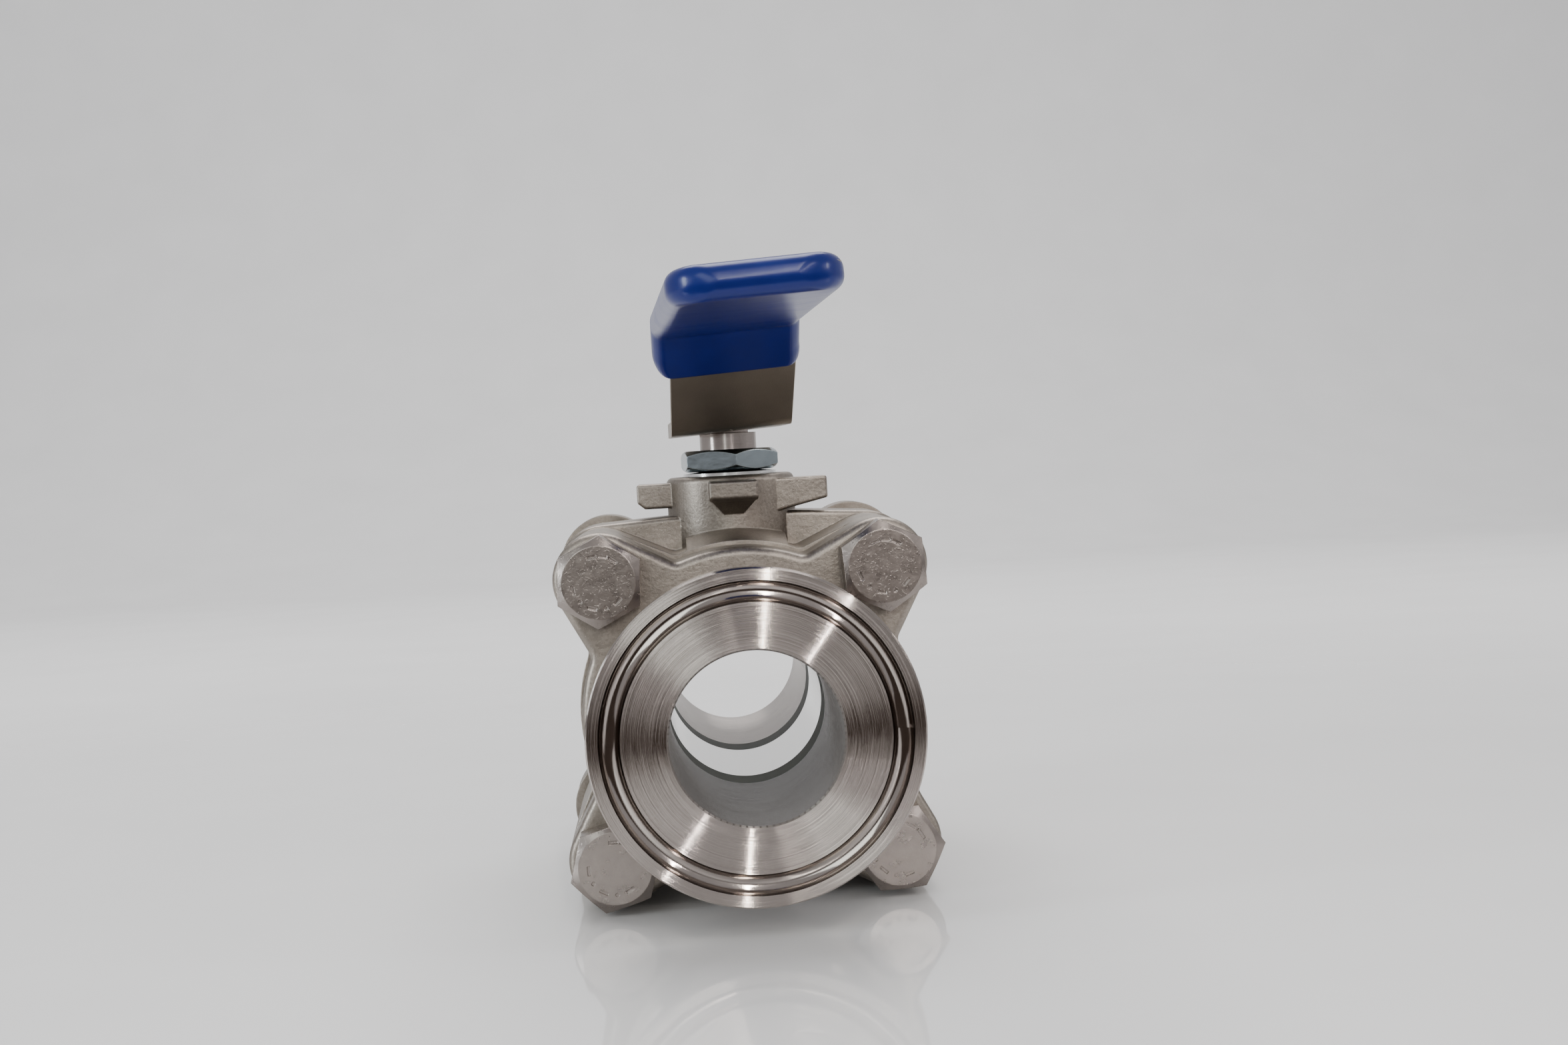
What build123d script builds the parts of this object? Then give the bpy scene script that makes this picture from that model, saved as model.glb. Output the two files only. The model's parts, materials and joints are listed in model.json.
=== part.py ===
from build123d import *
import os
from math import acos, atan2, cos, hypot, radians, sin, sqrt, tan

# Three-piece full-bore ball valve, nominal size 25, with clamp ferrule ends and a lever.
# Millimetres. The origin is the ball's centre. +Y runs along the bore from inlet to outlet,
# +Z runs up the stem, and +X is to the right when looking in at the inlet.

# ---- Flow passage and clamp ends
bore_diameter = 26.0
face_to_face = 114.3
ferrule_diameter = 50.5
ferrule_edge = 2.85  # rim thickness, before the back of the ferrule slopes away
ferrule_back_slope = 20.0
groove_circle = 43.5  # middle of the half-round gasket groove in the ferrule's face
groove_width = 3.2
neck_wall = 2.5
neck_rounding = 2.8
edge_break = 0.25

# ---- Fits and clearances
running_clearance = 0.05  # radial, on parts that turn in each other
locating_clearance = 0.10  # radial, on parts that sit in a pocket
free_clearance = 0.30  # radial, round parts that must not rub
bolt_hole_clearance = 0.50  # radial
sleeve_clearance = 0.10

# ---- Ball, seats and body joints; a step is a radial distance
ball_diameter = 38.0
ball_room = 0.80  # radial space round the ball in its cavity
ball_end_room = 1.0  # from the ball's end to the joint between body and cap
seat_lap = 2.49  # radial width of the seat's hollow that bears on the ball
seat_step = 1.3  # the seat is this much smaller than the cavity
seat_depth_in_cap = 1.0
spigot_step = 3.1  # from the cavity out to the cap's spigot
spigot_length = 3.0
gasket_step = 0.5  # from the cavity out to the gasket's hole
gasket_thickness = 1.5

# ---- Castings
cap_flange_thickness = 9.45
cap_hub_wall = 4.0  # outside the spigot
cap_nose_step = 0.7  # from the spigot out to where the hub's cone starts on the flange
cap_cone_length = 7.5
cast_rounding = 1.3
bolt_wall = 4.71  # between the spigot's pocket and a bolt hole
inlet_lug_wall = 3.15  # round a bolt hole, also on the body
outlet_lug_wall = 4.5
lug_root = 10.4  # sideways place where a lug's straight flank meets the hub
lug_root_rounding = 2.0
body_wall = 4.6  # outside the spigot's pocket
saddle_rise = 1.6  # the thicker metal on the barrel's top that carries the boss
saddle_half_length = 12.0
saddle_half_width = 8.5
web_rise = 2.4  # above the saddle
web_half_thickness = 6.5
web_lug_wall = 3.6
web_rounding = 0.8

# ---- Stem boss and its stop tabs; depths are below the tabs' level top
boss_wall = 2.75  # round the packing
boss_lip = 0.9  # above the gland ring
boss_rounding = 1.1
tab_drop = 0.9  # from the boss's top down to the tabs' top
tab_length = 5.25  # out from the boss
front_tab_length = 5.75
tab_width = 8.3
stop_tab_thickness = 4.0
stop_tab_depth = 3.8
stop_tab_root_depth = 6.2
side_tab_depth = 3.2
side_tab_root_depth = 4.3
side_tab_bevel = 1.3
front_tab_depth = 3.4
front_tab_bevel = (1.2, 0.5)
gusset_depth = 5.7
gusset_setback = 1.6
gusset_foot = 1.66
tab_rounding = 0.45
stop_gap = 0.30

# ---- Stem and packing
stem_diameter = 10.0
stem_flat_depth = 1.5
stem_top_step = 0.1  # the flatted end is this much smaller in radius
stem_end_chamfer = 1.0
collar_width = 2.5  # radial
collar_gap = 0.2  # from the ball up to the collar
collar_thickness = 2.2
washer_thickness = 1.2
shoulder_thickness = 3.4  # body metal between the thrust washer and the packing
tang_thickness = 6.0
tang_step = 0.5  # the tang's ends stand this far inside the collar
tang_clearance = 0.10
slot_wall = 1.6  # ball metal between the bore and the slot's floor
o_ring_section = 1.8
packing_width = 3.5  # radial
packing_ring_height = 1.85
packing_ring_count = 2
packing_vee = 0.6
gland_ring_height = 4.0
disc_spring_thickness = 0.55
disc_spring_cone = 0.30
disc_spring_count = 2
gland_nut_flats = 16.0
gland_nut_height = 3.7
gland_nut_turn = 6.0
nut_face_share = 0.95  # a nut's flat end face over its width across flats

# ---- Lever and its sleeve
lever_width = 20.5
lever_thickness = 2.5
lever_gap = 3.15  # from the gland nut up to the lever's plate
lever_riser_start = -14.0
lever_riser_angle = 37.0
lever_riser_height = 16.3
lever_tip = -97.6
lever_back = 11.5
lever_bend = 2.5
lever_corner = 4.0
lever_cant = 3.4  # the plate sits canted on the stem, its right side high
lever_yaw = 1.4  # and turned a little within the play of its hole
lever_play = 0.30
tongue_width = 8.0
tongue_gap = 1.35  # from the boss to the stop tongue
tongue_lap = 1.9  # how far the tongue reaches below the tabs' top
tongue_bend = 1.0
sleeve_wall = 1.05
sleeve_mouth = 13.0  # how far forward of the riser's start the sleeve ends
sleeve_tip_wall = 1.2
sleeve_rounding = 0.8
sleeve_tip_corner = 7.5
lever_washer_thickness = 1.2
lever_washer_width = 2.9  # radial
lever_washer_turn = -40.0
lever_nut_flats = 16.0
lever_nut_height = 5.0
lever_nut_turn = 17.0
stem_end_above_nut = 1.6

# ---- Body bolts, M8
bolt_diameter = 8.0
bolt_end = 2.6  # beyond the nut
bolt_head_step = 2.5  # from the thread out to the head's flats
bolt_head_height = 5.3
bolt_head_face = 0.9  # flat circle left on the head by its chamfer, over the flats
bolt_head_turns = {(-1, 1): 26.8, (1, 1): 33.8, (-1, -1): 15.5, (1, -1): 2.8}
mark_depth = 0.18
mark_circle = 4.2  # radius on which the head's marks stand
mark_size = (0.45, 1.5)
mark_dot = 0.32
mark_turns = (28, 52, 76, 166, 226, 286)
dot_turns = (196, 256)
nut_height = 6.5
body_nut_turn = 19.0
spring_washer_thickness = 2.0
spring_washer_width = 3.3  # radial
spring_washer_gap = 1.6
spring_washer_turn = 55.0
thread_chamfer = 0.8
thread_step = 0.6  # beyond the nut the bolt is drawn at its thread's root
nut_chamfer_angle = 30.0

# ---- Worked out along the bore
bore_radius = bore_diameter / 2
end_face = face_to_face / 2
neck_radius = bore_radius + neck_wall
ball_radius = ball_diameter / 2
cavity_radius = ball_radius + ball_room
seat_radius = cavity_radius - seat_step
seat_start = sqrt(ball_radius**2 - (bore_radius + seat_lap) ** 2)
body_half_length = ball_radius + ball_end_room
seat_end = body_half_length + seat_depth_in_cap
spigot_radius = cavity_radius + spigot_step
gasket_start = body_half_length - spigot_length - gasket_thickness
pocket_radius = spigot_radius + locating_clearance
cap_hub_radius = spigot_radius + cap_hub_wall
cap_nose_radius = spigot_radius + cap_nose_step
body_hub_radius = pocket_radius + body_wall
saddle_radius = body_hub_radius + saddle_rise
web_top = saddle_radius + web_rise
flange_face = body_half_length + cap_flange_thickness
bolt_hole_radius = bolt_diameter / 2 + bolt_hole_clearance
bolt_offset = (pocket_radius + bolt_wall + bolt_hole_radius) * cos(radians(45))
inlet_lug_radius = bolt_hole_radius + inlet_lug_wall
outlet_lug_radius = bolt_hole_radius + outlet_lug_wall
web_lug_radius = bolt_hole_radius + web_lug_wall
bolt_flats = bolt_diameter + 2 * bolt_head_step
bolt_length = 2 * flange_face + spring_washer_thickness + nut_height + bolt_end

# ---- Worked out up the stem
stem_radius = stem_diameter / 2
stem_hole_radius = stem_radius + running_clearance
stem_top_radius = stem_radius - stem_top_step
stem_flats = stem_diameter - 2 * stem_flat_depth
slot_floor = bore_radius + slot_wall
collar_radius = stem_radius + collar_width
collar_bottom = ball_radius + collar_gap
collar_top = collar_bottom + collar_thickness
shoulder_bottom = collar_top + washer_thickness
packing_bottom = shoulder_bottom + shoulder_thickness
packing_radius = stem_radius + packing_width
rings_bottom = packing_bottom + packing_ring_height
rings_top = rings_bottom + packing_ring_height * packing_ring_count
gland_bottom = rings_top + packing_ring_height
gland_top = gland_bottom + gland_ring_height
boss_radius = packing_radius + boss_wall
boss_top = gland_top + boss_lip
tab_top = boss_top - tab_drop
tab_reach = boss_radius + tab_length
front_tab_reach = boss_radius + front_tab_length
spring_step = disc_spring_thickness + disc_spring_cone
gland_nut_bottom = gland_top + spring_step * disc_spring_count
gland_nut_top = gland_nut_bottom + gland_nut_height

# ---- Worked out on the lever
lever_bottom = gland_nut_top + lever_gap
lever_top = lever_bottom + lever_thickness
lever_arm_bottom = lever_bottom + lever_riser_height
lever_slant = tan(radians(lever_cant))
sleeve_start = lever_riser_start - sleeve_mouth
tongue_inner = boss_radius + tongue_gap
tongue_bottom = tab_top - tongue_lap
stem_shoulder = lever_bottom - stem_radius * lever_slant
lever_washer_radius = stem_top_radius + lever_washer_width
lever_nut_bottom = lever_top + lever_washer_thickness + lever_washer_radius * lever_slant
lever_nut_top = lever_nut_bottom + lever_nut_height
stem_top = lever_nut_top + stem_end_above_nut


def revolved_y(points):
    """A solid turned about the bore axis from (radius, y) corners."""
    return revolve(make_face(Polyline(*points, close=True)), Axis.Y)


def revolved_z(points):
    """A solid turned about the stem axis from (radius, z) corners."""
    face = Plane.XZ * make_face(Polyline(*points, close=True))
    return revolve(face, Axis.Z)


def ring_y(inner, outer, start, end):
    return revolved_y([(inner, start), (outer, start), (outer, end), (inner, end)])


def ring_z(inner, outer, bottom, top):
    return revolved_z([(inner, bottom), (outer, bottom), (outer, top), (inner, top)])


def rod_y(radius, start, end):
    return Pos(0, (start + end) / 2, 0) * Rot(90, 0, 0) * Cylinder(radius, end - start)


def rod_z(radius, bottom, top):
    return Pos(0, 0, (bottom + top) / 2) * Cylinder(radius, top - bottom)


def block(x, y, z):
    """A box from its (low, high) limits on each axis."""
    middle = Pos((x[0] + x[1]) / 2, (y[0] + y[1]) / 2, (z[0] + z[1]) / 2)
    return middle * Box(x[1] - x[0], y[1] - y[0], z[1] - z[0])


def bolt_places():
    return [(sx * bolt_offset, sz * bolt_offset) for sx in (-1, 1) for sz in (-1, 1)]


def lug_flank(radius, root_x, root_z):
    """Where a straight flank from (root_x, root_z) touches a lug of this radius."""
    across, up = root_x - bolt_offset, root_z - bolt_offset
    angle = atan2(up, across) - acos(radius / hypot(across, up))
    return bolt_offset + radius * cos(angle), bolt_offset + radius * sin(angle)


def flange_outline(hub_radius, lug_radius):
    """The hub circle with four round bolt lugs on straight flanks, rounded at their roots."""
    root = sqrt(hub_radius**2 - lug_root**2)
    touch = lug_flank(lug_radius, lug_root, root)
    outer = bolt_offset + lug_radius * cos(radians(45))
    lug = make_face(
        [
            Line((0, 0), (lug_root, root)),
            Line((lug_root, root), touch),
            ThreePointArc(touch, (outer, outer), touch[::-1]),
            Line(touch[::-1], (root, lug_root)),
            Line((root, lug_root), (0, 0)),
        ]
    )
    outline = Circle(hub_radius)
    for quarter in range(4):
        outline += Rot(0, 0, 90 * quarter) * lug
    roots = [
        corner
        for corner in outline.vertices()
        if min(abs(corner.X), abs(corner.Y)) > lug_root - 0.01
        and abs(hypot(corner.X, corner.Y) - hub_radius) < 0.01
    ]
    return fillet(roots, lug_root_rounding)


def drilled(part, start, end):
    """The part with its four bolt holes."""
    for x, z in bolt_places():
        part -= Pos(x, 0, z) * rod_y(bolt_hole_radius, start, end)
    return part


def end_cap(lug_radius):
    """An end cap, as at the inlet: lugged flange, cone, neck and clamp ferrule in one casting."""
    outline = flange_outline(cap_hub_radius, lug_radius)
    flange = extrude(Plane.XZ.offset(body_half_length) * outline, cap_flange_thickness)
    flange = fillet(flange.faces().sort_by(Axis.Y)[0].outer_wire().edges(), cast_rounding)
    rim_radius = ferrule_diameter / 2
    rim_back = end_face - ferrule_edge
    slope_end = rim_back - (rim_radius - neck_radius) * tan(radians(ferrule_back_slope))
    sleeve_inner = body_half_length - spigot_length
    seat_pocket = seat_radius + running_clearance
    neck = revolved_y(
        [
            (bore_radius, -end_face + edge_break),
            (bore_radius + edge_break, -end_face),
            (rim_radius - edge_break, -end_face),
            (rim_radius, -end_face + edge_break),
            (rim_radius, -rim_back),
            (neck_radius, -slope_end),
            (neck_radius, -flange_face - cap_cone_length),
            (cap_nose_radius, -flange_face),
            (cap_nose_radius, -body_half_length - 1),
            (spigot_radius, -body_half_length - 1),
            (spigot_radius, -sleeve_inner),
            (seat_pocket, -sleeve_inner),
            (seat_pocket, -seat_end),
            (bore_radius, -seat_end),
        ]
    )
    bends = [
        edge
        for edge in neck.edges().filter_by(GeomType.CIRCLE)
        if abs(edge.radius - neck_radius) < 0.01
    ]
    neck = fillet(bends, neck_rounding)
    cap = flange + neck - rod_y(bore_radius, -flange_face, -seat_end)
    cap -= rod_y(seat_pocket, -seat_end, -sleeve_inner)
    groove_radius = groove_width / 2
    cap -= Pos(0, -end_face, 0) * Rot(90, 0, 0) * Torus(groove_circle / 2, groove_radius)
    return drilled(cap, -flange_face - 1, -body_half_length + 1)


def tab_profile(points, thickness, start):
    """A cast tab: an outline of (reach, z) corners along +X, from y = start, with its edges rounded."""
    face = Plane.XZ.offset(-start) * make_face(Polyline(*points, close=True))
    return fillet(extrude(face, -thickness).edges(), tab_rounding)


def stop_tab():
    """The closed stop, on the right of the boss, with a slanted underside."""
    inside = boss_radius / 2
    corners = [
        (inside, tab_top),
        (tab_reach, tab_top),
        (tab_reach, tab_top - stop_tab_depth),
        (inside, tab_top - stop_tab_root_depth),
    ]
    return tab_profile(corners, stop_tab_thickness, -tongue_width / 2 - stop_gap - stop_tab_thickness)


def side_tab():
    """The plain tab on the left, drawn along +X."""
    inside = boss_radius / 2
    corners = [
        (inside, tab_top),
        (tab_reach, tab_top),
        (tab_reach, tab_top - side_tab_depth),
        (tab_reach - side_tab_bevel, tab_top - side_tab_root_depth),
        (inside, tab_top - side_tab_root_depth),
    ]
    return tab_profile(corners, tab_width, -tab_width / 2)


def front_tab():
    """The tab over the inlet, drawn along +X, on a gusset that narrows downwards."""
    inside = boss_radius / 2
    under, foot = tab_top - front_tab_depth, tab_top - gusset_depth
    bevel_in, bevel_up = front_tab_bevel
    corners = [
        (inside, tab_top),
        (front_tab_reach, tab_top),
        (front_tab_reach, under + bevel_up),
        (front_tab_reach - bevel_in, under),
        (inside, under),
    ]
    tab = tab_profile(corners, tab_width, -tab_width / 2)
    wide = tab_width / 2 - tab_rounding
    gusset_reach = front_tab_reach - gusset_setback
    side_view = [(inside, under), (gusset_reach, under), (boss_radius, foot), (inside, foot)]
    front_view = [(-wide, under), (wide, under), (gusset_foot, foot), (-gusset_foot, foot)]
    slope = Plane.XZ.offset(-wide) * make_face(Polyline(*side_view, close=True))
    taper = Plane.YZ * make_face(Polyline(*front_view, close=True))
    return tab + (extrude(slope, 2 * wide) & extrude(taper, front_tab_reach))


def body():
    """The middle casting: barrel, bolt lugs, top web, stem boss and stop tabs."""
    outline = flange_outline(body_hub_radius, inlet_lug_radius)
    lugs = extrude(Plane.XZ.offset(-body_half_length) * outline, 2 * body_half_length)
    saddle = revolved_y(
        [
            (cavity_radius, -body_half_length),
            (body_hub_radius, -body_half_length),
            (saddle_radius, -saddle_half_length),
            (saddle_radius, saddle_half_length),
            (body_hub_radius, body_half_length),
            (cavity_radius, body_half_length),
        ]
    )
    across = (-saddle_half_width, saddle_half_width)
    saddle &= block(across, (-body_half_length, body_half_length), (0, saddle_radius))
    touch = lug_flank(web_lug_radius, boss_radius, web_top)
    side = bolt_offset + web_lug_radius
    corner = bolt_offset + web_lug_radius * cos(radians(45))
    web_half = make_face(
        [
            Line((0, 0), (0, web_top)),
            Line((0, web_top), (boss_radius, web_top)),
            Line((boss_radius, web_top), touch),
            ThreePointArc(touch, (corner, corner), (side, bolt_offset)),
            Line((side, bolt_offset), (0, 0)),
        ]
    )
    web_outline = web_half + mirror(web_half, Plane.YZ)
    web = extrude(Plane.XZ.offset(-web_half_thickness) * web_outline, 2 * web_half_thickness)
    rims = [edge for edge in web.edges() if edge.center().Z > bolt_offset and abs(edge.center().Y) > 1]
    web = fillet(rims, web_rounding)
    boss = rod_z(boss_radius, cavity_radius, boss_top)
    boss = fillet(boss.edges().sort_by(Axis.Z)[-1], boss_rounding)
    right_tab = stop_tab()
    open_tab = mirror(right_tab, Plane(origin=(0, 0, 0), z_dir=(1, -1, 0)))
    casting = lugs + saddle + web + boss + right_tab + open_tab
    casting += Rot(0, 0, 180) * side_tab()
    casting += Rot(0, 0, -90) * front_tab()
    casting -= rod_y(cavity_radius, -body_half_length - 1, body_half_length + 1)
    for side in (-1, 1):
        ends = sorted((side * gasket_start, side * (body_half_length + 1)))
        casting -= rod_y(pocket_radius, *ends)
    casting -= rod_z(collar_radius + free_clearance, 0, shoulder_bottom)
    casting -= rod_z(stem_hole_radius, 0, boss_top)
    casting -= rod_z(packing_radius, packing_bottom, boss_top + 1)
    return drilled(casting, -body_half_length - 1, body_half_length + 1)


def ball():
    """The bored ball, with the slot across its top that the stem's tang drives."""
    sphere = Sphere(ball_radius) - rod_y(bore_radius, -ball_radius, ball_radius)
    slot_half = tang_thickness / 2 + tang_clearance
    slot = block((-ball_radius, ball_radius), (-slot_half, slot_half), (slot_floor, ball_radius + 1))
    return sphere - slot


def seat():
    """The inlet's seat ring, hollowed to the ball."""
    blank = ring_y(bore_radius, seat_radius, -seat_end, -seat_start)
    return blank - Sphere(ball_radius + running_clearance)


def body_gasket():
    hole = cavity_radius + gasket_step
    return ring_y(hole, spigot_radius, -gasket_start - gasket_thickness, -gasket_start)


def flatted(part, bottom, top):
    """The part with two flats on its left and right sides, between bottom and top."""
    for side in (-1, 1):
        limits = sorted((side * stem_flats / 2, side * stem_diameter))
        part -= block(limits, (-stem_diameter, stem_diameter), (bottom, top))
    return part


def stem():
    """Tang, collar, shaft with its O-ring groove, and the flatted end that carries the lever."""
    groove_middle = shoulder_bottom + shoulder_thickness / 2
    groove_half = o_ring_section / 2 + locating_clearance
    groove_floor = stem_radius + running_clearance / 2 - o_ring_section - running_clearance
    shaft = revolved_z(
        [
            (0, collar_bottom),
            (collar_radius, collar_bottom),
            (collar_radius, collar_top),
            (stem_radius, collar_top),
            (stem_radius, groove_middle - groove_half),
            (groove_floor, groove_middle - groove_half),
            (groove_floor, groove_middle + groove_half),
            (stem_radius, groove_middle + groove_half),
            (stem_radius, stem_shoulder),
            (stem_top_radius, stem_shoulder),
            (stem_top_radius, stem_top - stem_end_chamfer),
            (stem_top_radius - stem_end_chamfer, stem_top),
            (0, stem_top),
        ]
    )
    shaft = flatted(shaft, stem_shoulder, stem_top + 1)
    tang = rod_z(collar_radius - tang_step, slot_floor + free_clearance, collar_bottom)
    across = (-tang_thickness / 2, tang_thickness / 2)
    tang &= block((-collar_radius, collar_radius), across, (0, collar_top))
    return shaft + tang


def stem_o_ring():
    middle = shoulder_bottom + shoulder_thickness / 2
    section = o_ring_section / 2
    return Pos(0, 0, middle) * Torus(stem_radius + running_clearance / 2 - section, section)


def packing_ring(bottom, lower_vee, upper_vee):
    """A ring of the stem packing; a vee raises the middle of its lower or upper face."""
    inner = stem_hole_radius
    outer = packing_radius - running_clearance
    middle = (inner + outer) / 2
    top = bottom + packing_ring_height
    return revolved_z(
        [
            (inner, bottom),
            (middle, bottom + lower_vee),
            (outer, bottom),
            (outer, top),
            (middle, top + upper_vee),
            (inner, top),
        ]
    )


def disc_springs():
    """Conical spring washers stacked point to point, the lowest resting on its inner edge."""
    inner = stem_hole_radius
    outer = packing_radius - free_clearance
    springs = []
    for index in range(disc_spring_count):
        bottom = gland_top + index * spring_step
        at_inner = 0 if index % 2 == 0 else disc_spring_cone
        at_outer = disc_spring_cone - at_inner
        springs.append(
            revolved_z(
                [
                    (inner, bottom + at_inner),
                    (outer, bottom + at_outer),
                    (outer, bottom + at_outer + disc_spring_thickness),
                    (inner, bottom + at_inner + disc_spring_thickness),
                ]
            )
        )
    return springs


def hex_nut(flats, height, hole_radius, both_sides=True):
    """A hexagon nut standing on z = 0, its corners turned down by a cone on one or both sides."""
    corner = flats / sqrt(3)
    face_radius = flats / 2 * nut_face_share
    drop = (corner - face_radius) * tan(radians(nut_chamfer_angle))
    foot = (face_radius, 0) if both_sides else (corner, 0)
    turned = [(0, 0), foot, (corner, drop), (corner, height - drop), (face_radius, height), (0, height)]
    turned = turned if both_sides else turned[:2] + turned[3:]
    blank = extrude(RegularPolygon(corner, 6), height) & revolved_z(turned)
    return blank - rod_z(hole_radius, -1, height + 1) if hole_radius else blank


def gland_nut():
    """The thin nut on the stem that loads the packing; one corner points nearly to the inlet."""
    nut = hex_nut(gland_nut_flats, gland_nut_height, stem_radius)
    return Pos(0, 0, gland_nut_bottom) * Rot(0, 0, 30 + gland_nut_turn) * nut


def strap_line(drop):
    """Corners, as (y, z), of a line parallel to the lever's underside and drop below it."""
    shift = drop * tan(radians(lever_riser_angle) / 2)
    rise = lever_arm_bottom - lever_bottom
    bend = lever_riser_start - rise / tan(radians(lever_riser_angle))
    return [(lever_riser_start - shift, lever_bottom - drop), (bend - shift, lever_arm_bottom - drop)]


def on_stem(part):
    """A lever piece, canted and turned as it sits on the stem."""
    cant = Pos(0, 0, lever_bottom) * Rot(0, -lever_cant, 0) * Pos(0, 0, -lever_bottom)
    return Rot(0, 0, lever_yaw) * cant * part


def side_slab(corners, rounded, radii, width):
    """A slab as wide as given, from side-view (y, z) corners, with some corners rounded."""
    face = make_face(Polyline(*corners, close=True))
    for index, radius in zip(rounded, radii):
        y, z = corners[index]
        near = [v for v in face.vertices() if hypot(v.X - y, v.Y - z) < 0.01]
        face = fillet(near, radius)
    return extrude(Plane.YZ.offset(-width / 2) * face, width)


def lever():
    """The bent strap: plate on the stem with a stop tongue behind, a riser and the arm."""
    under, over = strap_line(0), strap_line(-lever_thickness)
    outside = tongue_inner + lever_thickness
    corners = [
        (outside, tongue_bottom),
        (outside, lever_top),
        over[0],
        over[1],
        (lever_tip, lever_arm_bottom + lever_thickness),
        (lever_tip, lever_arm_bottom),
        under[1],
        under[0],
        (tongue_inner, lever_bottom),
        (tongue_inner, tongue_bottom),
    ]
    inner, outer = lever_bend, lever_bend + lever_thickness
    radii = (tongue_bend + lever_thickness, inner, outer, inner, outer, tongue_bend)
    strap = on_stem(side_slab(corners, (1, 2, 3, 6, 7, 8), radii, 2 * lever_width))
    reach = lever_back - lever_tip
    plan = Pos(0, lever_back - reach / 2) * RectangleRounded(lever_width, reach, lever_corner)
    plan = Rot(0, 0, lever_yaw) * plan
    plan += Pos(0, outside / 2 + 1) * Rectangle(tongue_width, outside + 2)
    strap &= extrude(plan, 2 * lever_arm_bottom)
    return strap - flatted_hole()


def flatted_hole():
    """The space for the stem's flatted end, with the lever's play round it."""
    half = stem_flats / 2 + lever_play
    round_hole = rod_z(stem_top_radius + lever_play, gland_nut_top, stem_top)
    return round_hole & block((-half, half), (-stem_diameter, stem_diameter), (0, stem_top))


def sleeve_space(grow, start, tip, corner):
    """The strap's shape from the riser outwards, grown on every side by the given amount."""
    angle = radians(lever_riser_angle)
    under, over = strap_line(grow), strap_line(-lever_thickness - grow)
    along = (lever_riser_start - start) / cos(angle)
    foot = (start + grow * sin(-angle), lever_bottom + along * sin(angle) - grow * cos(angle))
    depth = lever_thickness + 2 * grow
    head = (foot[0] + depth * sin(angle), foot[1] + depth * cos(angle))
    low, high = lever_arm_bottom - grow, lever_arm_bottom + lever_thickness + grow
    corners = [head, over[1], (tip, high), (tip, low), under[1], foot]
    radii = (lever_bend + lever_thickness + grow, lever_bend - grow)
    slab = on_stem(side_slab(corners, (1, 4), radii, 2 * lever_width))
    width = lever_width + 2 * grow
    plan = Pos(0, tip / 2) * RectangleRounded(width, -tip, corner)
    return slab & extrude(Rot(0, 0, lever_yaw) * plan, 2 * lever_arm_bottom)


def lever_sleeve():
    """The dipped plastic sleeve over the arm and half of the riser."""
    tip = lever_tip - sleeve_tip_wall
    outside = sleeve_space(sleeve_wall, sleeve_start, tip, sleeve_tip_corner)
    outside = fillet(outside.edges(), sleeve_rounding)
    pocket_tip = lever_tip - sleeve_clearance
    past_start = lever_riser_start + lever_bend
    return outside - sleeve_space(sleeve_clearance, past_start, pocket_tip, lever_corner)


def lever_washer():
    """A spring washer that takes up the lever's cant, so the nut above it stays level."""
    reach = 2 * lever_washer_radius
    hole = stem_top_radius + locating_clearance
    blank = ring_z(hole, lever_washer_radius, lever_bottom, lever_nut_bottom)
    below = on_stem(block((-reach, reach), (-reach, reach), (0, lever_top)))
    split = block((-spring_washer_gap / 2, spring_washer_gap / 2), (0, reach), (0, stem_top))
    return blank - below - Rot(0, 0, lever_washer_turn) * split


def lever_nut():
    nut = hex_nut(lever_nut_flats, lever_nut_height, stem_top_radius)
    return Pos(0, 0, lever_nut_bottom) * Rot(0, 0, lever_nut_turn) * nut


def head_marks():
    """Short ticks and dots, sunk in a bolt head's face at z = 0."""
    tick = Box(*mark_size, 2 * mark_depth)
    dot = Cylinder(mark_dot, 2 * mark_depth)
    turned = [(turn, tick) for turn in mark_turns] + [(turn, dot) for turn in dot_turns]
    return [Rot(0, 0, turn) * Pos(mark_circle, 0, 0) * mark for turn, mark in turned]


def body_bolt():
    """One bolt lying along the bore's direction, its head's underside on the inlet cap's flange."""
    corner = bolt_flats / sqrt(3)
    face_radius = bolt_flats / 2 * bolt_head_face
    drop = (corner - face_radius) * tan(radians(nut_chamfer_angle))
    turned = [(0, 0), (corner, 0), (corner, bolt_head_height - drop), (face_radius, bolt_head_height)]
    head = extrude(RegularPolygon(corner, 6), bolt_head_height)
    head &= revolved_z(turned + [(0, bolt_head_height)])
    for mark in head_marks():
        head -= Pos(0, 0, bolt_head_height) * mark
    shank = rod_z(bolt_diameter / 2, bolt_end - bolt_length, 0)
    end = rod_z(bolt_diameter / 2 - thread_step, -bolt_length, bolt_end - bolt_length)
    return head + shank + chamfer(end.edges().sort_by(Axis.Z)[0], thread_chamfer)


def body_bolts():
    bolt = body_bolt()
    placed = []
    for (sx, sz), turn in bolt_head_turns.items():
        place = Pos(sx * bolt_offset, -flange_face, sz * bolt_offset)
        placed.append(place * Rot(90, 0, 0) * Rot(0, 0, turn) * bolt)
    return placed


def body_spring_washers():
    radius = bolt_diameter / 2 + spring_washer_width
    hole = bolt_diameter / 2 + locating_clearance
    washer = ring_y(hole, radius, flange_face, flange_face + spring_washer_thickness)
    half = spring_washer_gap / 2
    split = block((-half, half), (0, 2 * flange_face), (0, 2 * radius))
    washer -= split
    turns = [Rot(0, spring_washer_turn * index, 0) for index in range(4)]
    return [Pos(x, 0, z) * turn * washer for turn, (x, z) in zip(turns, bolt_places())]


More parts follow.
